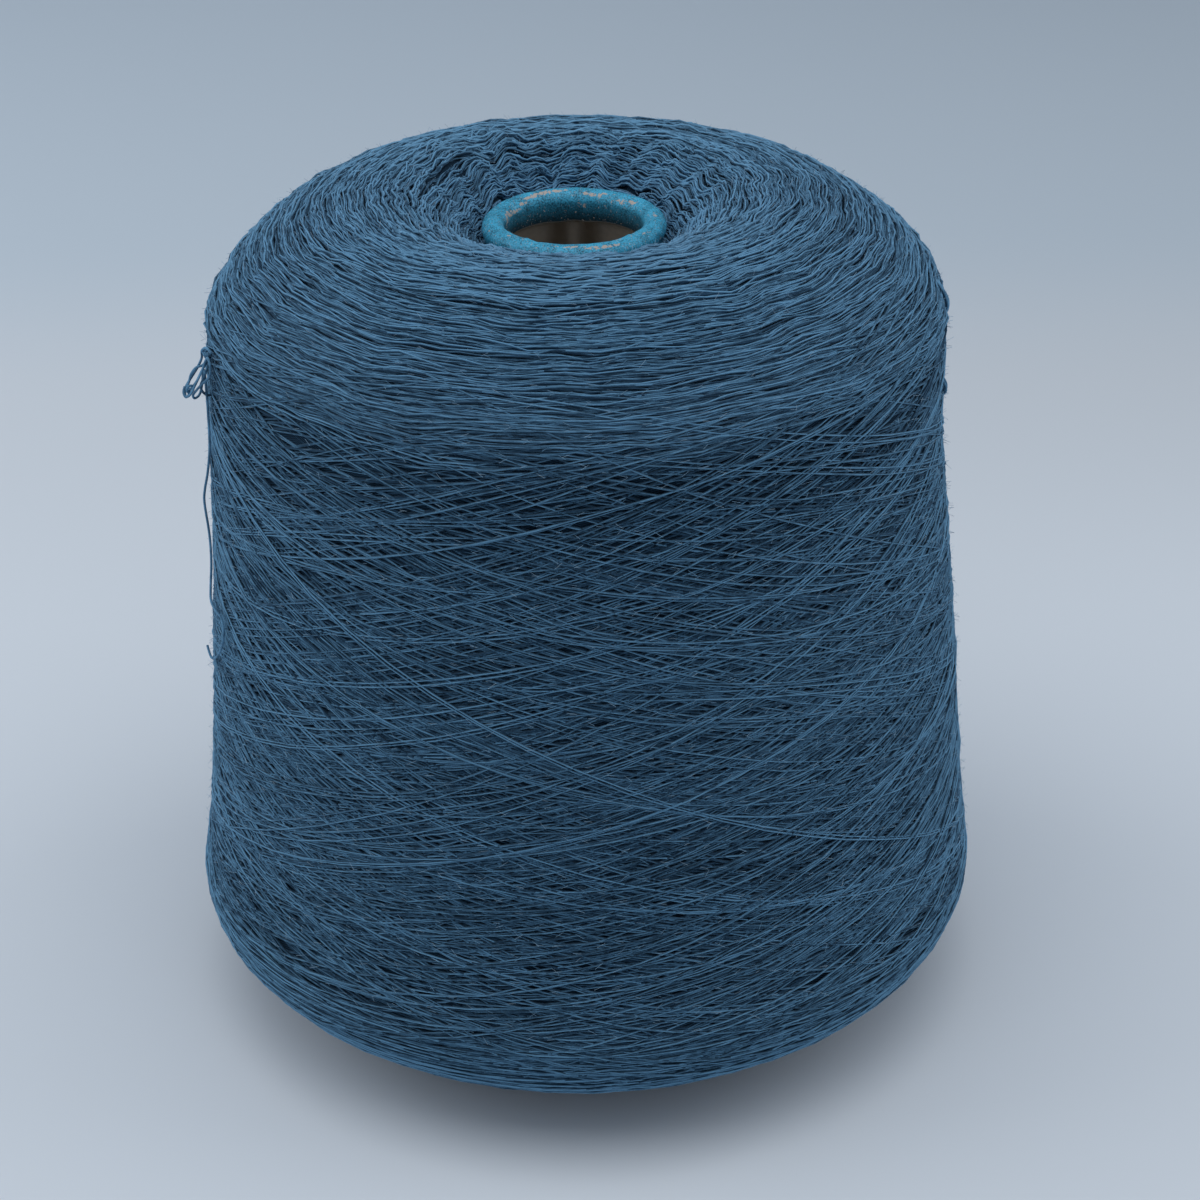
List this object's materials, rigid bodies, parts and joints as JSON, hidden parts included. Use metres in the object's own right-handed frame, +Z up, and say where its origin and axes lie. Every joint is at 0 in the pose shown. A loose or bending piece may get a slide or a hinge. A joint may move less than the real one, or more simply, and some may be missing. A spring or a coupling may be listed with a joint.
{
  "type": "cone of yarn",
  "caption": "Fine yarn cross-wound on a hollow paper cone: domed shoulders, crinkled turns dipping to a rolled, dipped nose, and a loose end tucked in at one side.",
  "frame": {"origin": "middle of the cone's wide end, on the surface that it stands on", "axes": "+Z up along the cone's axis towards its nose, -X towards the side with the loose end, -Y towards the viewer"},
  "size_m": [0.1666, 0.1666, 0.1758],
  "materials": {
    "wound_yarn": "dusty blue spun yarn, matt, fine cross-wound turns with a light fuzz",
    "dipped_paper": "grey-brown pulp board, its rolled nose dipped in bright blue and scuffed back to the board in places",
    "loose_yarn": "the same dusty blue spun yarn, a single strand"
  },
  "bodies": {
    "root": {"yarn_package": "wound_yarn", "paper_cone": "dipped_paper", "loose_end": "loose_yarn"}
  },
  "joints": []
}
